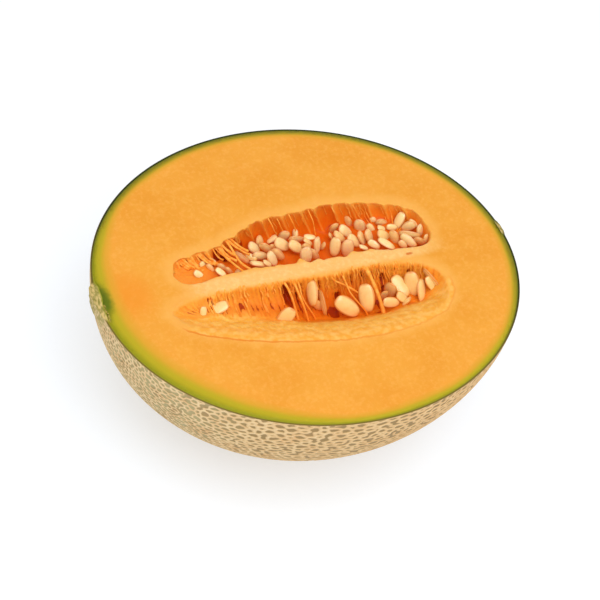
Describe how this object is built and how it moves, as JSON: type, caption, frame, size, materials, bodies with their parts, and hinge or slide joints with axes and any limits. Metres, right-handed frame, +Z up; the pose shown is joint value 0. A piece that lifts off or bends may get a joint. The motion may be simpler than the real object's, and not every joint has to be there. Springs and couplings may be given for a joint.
{
  "type": "half cantaloupe",
  "caption": "Netted cantaloupe half, cut lengthwise: flat orange cut face, seed cavity in two lobes, seeds and fibres, lying on a small flat spot of its rind.",
  "frame": {"origin": "middle of the flat spot that the half lies on, under the middle of its length and width", "axes": "+X from the stem end to the blossom end along the cut face, +Z up out of the cut face, +Y across towards the deeper-walled seed lobe"},
  "size_m": [0.1733, 0.1497, 0.0729],
  "materials": {
    "rind_and_flesh": "moist orange flesh on the cut face, tan raised net over grey-green on the rind",
    "seed_skin": "wet cream seed coats"
  },
  "bodies": {
    "root": {"melon_half": "rind_and_flesh", "seeds_far_stem": "seed_skin", "seeds_far_middle": "seed_skin", "seeds_far_blossom": "seed_skin", "seeds_near_stem": "seed_skin", "seeds_near_single": "seed_skin", "seeds_near_middle": "seed_skin", "seeds_near_pair": "seed_skin", "seeds_near_blossom": "seed_skin"}
  },
  "joints": []
}
